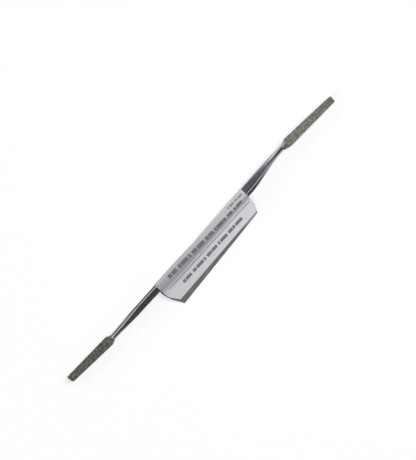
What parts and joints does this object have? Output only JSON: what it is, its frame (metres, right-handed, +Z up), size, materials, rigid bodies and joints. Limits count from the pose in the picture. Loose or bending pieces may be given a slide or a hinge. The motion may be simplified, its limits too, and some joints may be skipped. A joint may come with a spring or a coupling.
{
  "type": "riffler file",
  "caption": "Double-ended riffler file with a flat tapered grit-coated head at each end of a slim square steel handle and a folded paper label.",
  "frame": {"origin": "on the floor under the middle of the tool's length, on the flat underside of the label's wrap", "axes": "+X along the tool towards the long head, +Y away from the label's flag, +Z up from the floor the tool lies on"},
  "size_m": [0.1523, 0.0155, 0.0047],
  "materials": {
    "tool_steel": "polished, drawn surface with fine long scratches",
    "grit_long": "matt bonded diamond grit, mid grey with brown and green specks",
    "grit_short": "matt bonded diamond grit, darker grey with brown and green specks",
    "label_paper": "uncoated, slightly bluish white, plain printed rule"
  },
  "bodies": {
    "root": {"steel_body": "tool_steel", "long_head_grit": "grit_long", "short_head_grit": "grit_short", "paper_label": "label_paper"}
  },
  "joints": []
}
